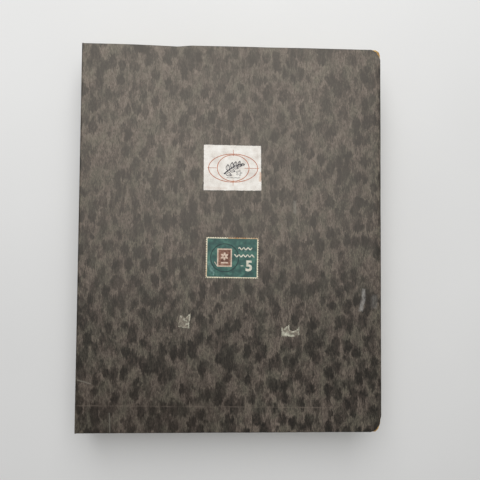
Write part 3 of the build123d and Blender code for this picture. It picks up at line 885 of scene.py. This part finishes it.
def make_album_stamps(number):
    """Perforated stamps standing in the pockets of one leaf, each with a plain printed device."""
    node = f"leaf_{number}_stamps"
    card_low, card_high = corners(f"leaf_{number}_card")
    middle = (card_low[2] + card_high[2]) / 2
    verts, faces, indices, places, tones = [], [], [], [], []
    for index, (low, high) in enumerate(stamp_places(node)):
        rng = random.Random(number * 100 + index)
        cx, cy = (low[0] + high[0]) / 2, (low[1] + high[1]) / 2
        width, height = high[0] - low[0], high[1] - low[1]
        up = 1 if low[2] > middle else -1
        outside = high[2] if up > 0 else low[2]
        tilt = rng.uniform(-0.006, 0.006)
        kind, tone = rng.choice((0.0, 1.0)), rng.random()
        parts = [plate(perforated(width - 0.3, height - 0.3, 1.9, 0.42, rng.random(), 3), outside, 0.1, up)]
        half_w, half_h = width / 2 - 2.2, height / 2 - 2.2
        parts.append(plate(rectangle(half_w, half_h), outside + up * 0.012, 0.05, up))
        points, triangles = rng.choice(NUMERALS)
        size = min(width, height) * 0.16
        nx, ny = half_w * 0.62, half_h * 0.66
        mark = [(up * (px * size) + up * nx, py * size + ny, outside + up * 0.03) for px, py in points]
        parts.append((mark, triangles))
        for slot_index, (part_verts, part_faces) in enumerate(parts):
            first = len(verts)
            for x, y, z in part_verts:
                verts.append((cx + x - tilt * y, cy + y + tilt * x, z))
                places.append((up * x / half_w, y / half_h, kind))
                tones.append(tone)
            faces += [tuple(first + i for i in f) for f in part_faces]
            indices += [slot_index] * len(part_faces)
    stamps = mesh_object(f"leaf_{number}_stamp_faces", verts, faces, [STAMP_PAPER, ALBUM_PRINT, PALE_INK],
                         indices=indices)
    point_values(stamps, "tone", tones)
    spot = stamps.data.attributes.new("place", "FLOAT_VECTOR", "POINT")
    spot.data.foreach_set("vector", [c for p in places for c in p])
    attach(stamps, f"leaf_{number}")
    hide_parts(node)


for leaf in range(1, STAMPED_LEAVES + 1):
    make_album_stamps(leaf)


# --- Paper stuck on the front cover

def on_cover(x, y):
    """Height of the front cover's face at a place."""
    return TOP + sag(x, y)


def sticker_sheet(name, corner_points, level, thickness, material, node, lift=None, ragged=0.0,
                  seed=1.0, pitch=0.8):
    """Paper between four corners given from bottom left, counter-clockwise, following the cover."""
    (ax, ay), (bx, by), (cx, cy), (dx, dy) = corner_points
    columns = round(max(abs(bx - ax), abs(cx - dx)) / pitch)
    rows = round(max(abs(dy - ay), abs(cy - by)) / pitch)
    verts = []
    for r in range(rows + 1):
        v = r / rows
        for c in range(columns + 1):
            u = c / columns
            x = (ax * (1 - u) + bx * u) * (1 - v) + (dx * (1 - u) + cx * u) * v
            y = (ay * (1 - u) + by * u) * (1 - v) + (dy * (1 - u) + cy * u) * v
            if c in (0, columns):
                x += ragged * wave(x, y, 1.4, seed)
            if r in (0, rows):
                y += ragged * wave(x, y, 1.4, seed + 4)
            raised = lift(u, v) if lift else 0.0
            verts.append((x, y, on_cover(x, y) + level + raised + 0.025 * wave(x, y, 3.5, seed + 9)))
    sheet = mesh_object(name, verts, grid(rows + 1, columns + 1), [material], facing=(0, 0, 1))
    thicken(sheet, thickness)
    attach(sheet, "front_cover")
    if node:
        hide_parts(node)


class Ink:
    """Printed mark on the front cover, made of thin lines at a height above it."""

    def __init__(self, level):
        self.level, self.verts, self.faces = level, [], []

    def line(self, points, width, rise=0.0, closed=False):
        first = len(self.verts)
        count = len(points)
        for i, (x, y) in enumerate(points):
            ahead = points[(i + 1) % count] if closed or i < count - 1 else points[i]
            behind = points[i - 1] if closed or i > 0 else points[i]
            along = Vector((ahead[0] - behind[0], ahead[1] - behind[1])).normalized()
            wide = width(i / max(1, count - 1)) if callable(width) else width
            wide *= 0.85 + 0.3 * abs(wave(x, y, 0.9, 4.0))
            for hand in (0.5, -0.5):
                px, py = x - along.y * wide * hand, y + along.x * wide * hand
                self.verts.append((px, py, on_cover(px, py) + self.level + rise))
        for i in range(count if closed else count - 1):
            a, b = first + 2 * i, first + 2 * ((i + 1) % count)
            self.faces.append((a, a + 1, b + 1, b))

    def finish(self, name, material, slot):
        inked(name, self.verts, self.faces, material)


def oval(cx, cy, rx, ry, count=120):
    return [(cx + rx * cos(tau * i / count), cy + ry * sin(tau * i / count)) for i in range(count)]


def inked(name, verts, faces, material):
    """Finishes a printed mark that rides with the front cover."""
    mark = mesh_object(name, verts, faces, [material], facing=(0, 0, 1))
    for polygon in mark.data.polygons:
        if polygon.normal.z < 0:
            polygon.flip()
    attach(mark, "front_cover")


def make_label():
    """White paper label with a plain ornament of ovals and a leafy sprig."""
    paper_top = 0.17

    def lift(u, v):
        edge = max(abs(2 * u - 1), abs(2 * v - 1))
        curl = 0.16 * max(0.0, edge - 0.86) / 0.14
        return curl * (0.6 + 0.4 * wave(u * 40, v * 40, 9.0, 2.0)) + 0.14 * max(0.0, (u + v - 1.8) / 0.2)

    spots = [(-21.1, 35.0), (22.5, 35.2), (21.9, 69.2), (-21.3, 69.6)]
    sticker_sheet("label_paper", spots, paper_top, 0.11, LABEL_PAPER, "paper_label", lift,
                  0.22, 7.0)
    cx, cy = 1.0, 52.1
    red, grey = Ink(paper_top + 0.045), Ink(paper_top + 0.045)
    red.line(oval(cx, cy, 18.6, 10.7), 0.56, closed=True)
    red.line(oval(cx, cy, 12.0, 10.0), 0.56, 0.01, closed=True)
    for x0, y0, x1, y1 in ((-18.4, cy, -11.6, cy), (9.6, cy, 20.4, cy), (cx, 61.4, cx, 66.0),
                           (cx, 38.6, cx, 43.4)):
        red.line([(x0 + (x1 - x0) * i / 8, y0 + (y1 - y0) * i / 8) for i in range(9)], 0.36, 0.02)
    red.finish("label_ovals", ORANGE_INK, "white_label")
    stem = [(cx - 7.0 + 14.0 * t, cy - 4.6 + 7.6 * t + 1.6 * sin(pi * t))
            for t in (i / 24 for i in range(25))]
    grey.line(stem, lambda t: 0.90 - 0.45 * t)
    for i in range(9):
        bx, by = stem[round((0.10 + 0.10 * i) * 24)]
        lean = radians(34 + (1 if i % 2 else -1) * (58 - 3 * i))
        length = 5.2 - 0.28 * i
        leaf_edge = []
        for j in range(21):
            share = j / 10 if j <= 10 else 2 - j / 10
            swell = (1 if j <= 10 else -1) * 0.27 * length * sin(pi * share ** 0.8)
            leaf_edge.append((bx + length * share * cos(lean) - swell * sin(lean),
                              by + length * share * sin(lean) + swell * cos(lean)))
        grey.line(leaf_edge, 0.52, 0.005, closed=True)
        reach = length * 0.85 / 6
        grey.line([(bx + reach * k * cos(lean), by + reach * k * sin(lean)) for k in range(7)], 0.34, 0.008)
    for i in range(5):
        bud = oval(cx + 4.4 + 1.7 * cos(i * 1.3), cy - 3.6 + 1.5 * sin(i * 1.3), 0.62, 0.62, 14)
        grey.line(bud, 0.26, closed=True)
    grey.line([(cx - 5 + 10 * i / 12, cy - 7.4 + 0.14 * sin(i * 1.7)) for i in range(13)], 0.36)
    grey.finish("label_sprig", GREY_INK, "white_label")


def flat_mark(name, polygons, material, level):
    """Filled shapes printed at a height above the cover."""
    verts, faces = [], []
    for points in polygons:
        first = len(verts)
        verts += [(x, y, on_cover(x, y) + level) for x, y in points]
        faces.append(tuple(range(first, first + len(points))))
    inked(name, verts, faces, material)


def make_cover_stamp():
    """Used stamp pasted on the cover: perforated edge, engraved field, small inset and a plain numeral."""
    cx, cy = 0.75, -15.8
    tilt = radians(-0.5)

    def turned(points, ox=0.0, oy=0.0):
        return [(cx + (x + ox) * cos(tilt) - (y + oy) * sin(tilt),
                 cy + (x + ox) * sin(tilt) + (y + oy) * cos(tilt)) for x, y in points]

    level = 0.15
    edge = turned(perforated(39.6, 30.8, 1.80, 0.58, 5, 5))
    verts = [(x, y, on_cover(x, y) + rise) for rise in (level, 0.02) for x, y in edge]
    faces = plate_faces(len(edge))
    body = mesh_object("stamp_paper", verts, faces, [STAMP_BORDER], facing=(0, 0, 1))
    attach(body, "front_cover")
    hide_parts("cover_stamp")
    sticker_sheet("stamp_field", turned(rectangle(18.75, 14.45)), level + 0.035, 0.03, STAMP_FIELD, None,
                  None, 0.12, 11.0)
    ink = level + 0.075
    ring, pale = Ink(ink), Ink(ink)
    ring.line(turned(oval(-5.6, -0.1, 10.5, 10.5, 96)), 0.75, closed=True)
    ring.finish("stamp_ring", DARK_INK, "green_stamp")
    inset = (-5.7, 0.05)
    flat_mark("stamp_inset_paper", [turned(perforated(11.2, 13.8, 1.15, 0.2, 9, 3), *inset)], ROSE_PAPER,
              ink + 0.02)
    flat_mark("stamp_inset_print", [turned(rectangle(4.6, 5.9), *inset)], BROWN_INK,
              ink + 0.035)
    petals = []
    for i in range(6):
        spin = tau * i / 6 + 0.5
        petal = []
        for j in range(16):
            along, across = 1.75 + 1.25 * cos(tau * j / 16), 0.75 * sin(tau * j / 16)
            petal.append((along * cos(spin) - across * sin(spin),
                          along * sin(spin) + across * cos(spin) + 1.0))
        petals.append(turned(petal, *inset))
    petals.append(turned([(-2.6, -4.3), (2.6, -4.3), (2.6, -3.3), (-2.6, -3.3)], *inset))
    flat_mark("stamp_inset_flower", petals, ROSE_PAPER, ink + 0.05)
    points, triangles = digits("5", 8.2, 0.035)
    placed = turned(points, 12.7, -5.9)
    verts = [(x, y, on_cover(x, y) + ink + 0.01) for x, y in placed]
    inked("stamp_numeral", verts, list(triangles), PALE_INK)
    for row, (x0, x1, y0) in enumerate(((4.6, 15.0, 7.0), (1.6, 16.8, 1.6))):
        count = round((x1 - x0) / 0.16)
        crests = [(x0 + (x1 - x0) * i / count, y0 + 0.75 * sin(i * 0.31 + row)) for i in range(count + 1)]
        pale.line(turned(crests), 0.85)
    pale.line(turned([(6.6 + 0.25 * i, -5.9) for i in range(9)]), 0.5)
    pale.line(turned([(-13.2 + 0.4 * i, -3.1 - 0.62 * i) for i in range(6)]), 0.5)
    pale.finish("stamp_waves", PALE_INK, "green_stamp")


def make_remnant(name, node, edge, ridges, seed):
    """Torn scrap of an old label: a crinkled skin with a ragged edge and raised bright folds.

    Each ridge is a line from one point to another and its half width.
    """
    xs = [p[0] for p in edge]
    ys = [p[1] for p in edge]
    pitch = 0.28
    columns = round((max(xs) - min(xs)) / pitch)
    rows = round((max(ys) - min(ys)) / pitch)

    def inside(x, y):
        hit = False
        for (x0, y0), (x1, y1) in zip(edge, edge[1:] + edge[:1]):
            if (y0 > y) != (y1 > y) and x < x0 + (x1 - x0) * (y - y0) / (y1 - y0):
                hit = not hit
        return hit

    def fold(x, y):
        most = 0.0
        for x0, y0, x1, y1, wide in ridges:
            run = Vector((x1 - x0, y1 - y0))
            share = unit(((x - x0) * run.x + (y - y0) * run.y) / run.length_squared)
            away = hypot(x - x0 - run.x * share, y - y0 - run.y * share) + 0.25 * wave(x, y, 0.9, seed)
            most = max(most, unit(1.25 - away / wide))
        return most

    verts, marks = [], []
    for r in range(rows + 1):
        for c in range(columns + 1):
            x, y = min(xs) + pitch * c, min(ys) + pitch * r
            px, py = x + 0.25 * wave(x, y, 1.1, seed), y + 0.25 * wave(x, y, 1.1, seed + 4)
            raised = fold(px, py)
            level = 0.09 + 0.10 * raised + 0.05 * wave(px, py, 0.9, seed + 8)
            verts.append((px, py, on_cover(px, py) + level))
            marks.append(raised * (0.75 + 0.5 * wave(px, py, 0.7, seed + 2)))

    def keep(r, c):
        x, y = min(xs) + pitch * (c + 0.5), min(ys) + pitch * (r + 0.5)
        return inside(x + 0.45 * wave(x, y, 1.3, seed + 1), y + 0.45 * wave(x, y, 1.3, seed + 2))

    faces = grid(rows + 1, columns + 1, keep)
    used = sorted({i for f in faces for i in f})
    place = {old: new for new, old in enumerate(used)}
    faces = [tuple(place[i] for i in f) for f in faces]
    scrap = mesh_object(name, [verts[i] for i in used], faces, [TORN], facing=(0, 0, 1))
    point_values(scrap, "ridge", [unit(marks[i]) for i in used])
    thicken(scrap, FOLDED_SCRAP)
    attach(scrap, "front_cover")
    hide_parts(node)


make_label()
make_cover_stamp()
make_remnant(
    "label_scrap_left", "torn_remnant_left",
    [(-39.2, -67.4), (-35.0, -68.0), (-30.8, -68.8), (-31.0, -63.6), (-29.9, -60.6), (-29.6, -57.0),
     (-31.4, -58.2), (-33.6, -61.6), (-35.4, -59.6), (-37.8, -58.6), (-38.6, -63.0)],
    [(-34.6, -61.6, -31.0, -58.8, 0.45), (-30.6, -58.8, -30.9, -63.4, 0.5),
     (-35.0, -62.2, -32.8, -63.2, 0.4), (-33.4, -65.6, -31.6, -65.2, 0.45),
     (-31.3, -64.6, -31.0, -68.6, 0.55), (-38.8, -67.4, -32.0, -68.5, 0.35),
     (-37.2, -60.0, -36.8, -60.6, 0.5)],
    12.0,
)
make_remnant(
    "label_scrap_right", "torn_remnant_right",
    [(38.2, -74.6), (47.2, -74.7), (51.6, -73.4), (51.9, -67.2), (49.6, -69.6), (46.8, -70.4),
     (44.6, -69.8), (44.2, -65.4), (41.2, -67.6), (40.0, -69.0), (38.2, -66.8), (38.6, -70.2)],
    [(39.0, -72.4, 42.6, -72.9, 1.7), (42.6, -73.4, 47.0, -74.2, 1.0), (38.5, -68.0, 38.8, -70.4, 0.5),
     (40.8, -69.2, 43.4, -65.8, 0.7), (43.4, -65.8, 44.2, -70.2, 0.5), (46.4, -71.4, 50.0, -69.6, 0.7),
     (50.0, -69.6, 51.4, -67.4, 0.6), (51.4, -67.4, 51.3, -73.2, 0.4)],
    23.0,
)


# --- Materials of the CAD nodes that stay

for row in frame["record"]["subparts"]:
    kept = frame["nodes"][row["node"]]
    if not kept.hide_render:
        kept.data.materials.clear()
        kept.data.materials.append(PAPER[row["material_slot"]])


# --- Floor, light and camera

def make_floor():
    """Pale table top under the album."""
    s = Shader("table_top", roughness=0.75, specular=0.2)
    cloud = s.noise(3.5, 3, 0.5)
    grain = s.noise(260, 3, 0.5)
    colour = s.ramp(cloud, [(0.3, (222, 222, 221)), (0.7, (228, 228, 227))])
    material = s.finish(colour, None, s.bump(grain, 0.02, 0.2))
    verts = [(x, y, FLOOR_LEVEL) for x, y in rectangle(FLOOR_HALF, FLOOR_HALF)]
    floor = mesh_object("table_top", verts, [(0, 1, 2, 3)], [material], facing=(0, 0, 1))


def make_light(name, place, aim, width, height, power):
    """Rectangular lamp that looks at aim; places and sizes in metres."""
    lamp = bpy.data.lights.new(name, "AREA")
    lamp.shape = "RECTANGLE"
    lamp.size, lamp.size_y = width, height
    lamp.energy = power
    made = bpy.data.objects.new(name, lamp)
    made.location = place
    made.rotation_euler = (Vector(aim) - Vector(place)).to_track_quat("-Z", "Y").to_euler()
    scene.collection.objects.link(made)


make_floor()
make_light("window", (-0.02, 0.44, 0.80), (0.0, 0.0, 0.0), 0.9, 1.15, 9.2)
world = bpy.data.worlds.new("room")
world.use_nodes = True
world.node_tree.nodes["Background"].inputs[0].default_value = (1.0, 1.0, 1.0, 1.0)
world.node_tree.nodes["Background"].inputs[1].default_value = 0.27
scene.world = world

lens = bpy.data.cameras.new("camera")
lens.lens = 36.0
lens.sensor_width = 36.0
lens.clip_start = 0.01
lens.clip_end = 20.0
camera = bpy.data.objects.new("camera", lens)
camera.location = (-0.0063, -0.0153, 0.3973)
camera.rotation_euler = tuple(radians(a) for a in (2.038, -2.060, 0.452))
scene.collection.objects.link(camera)
scene.camera = camera
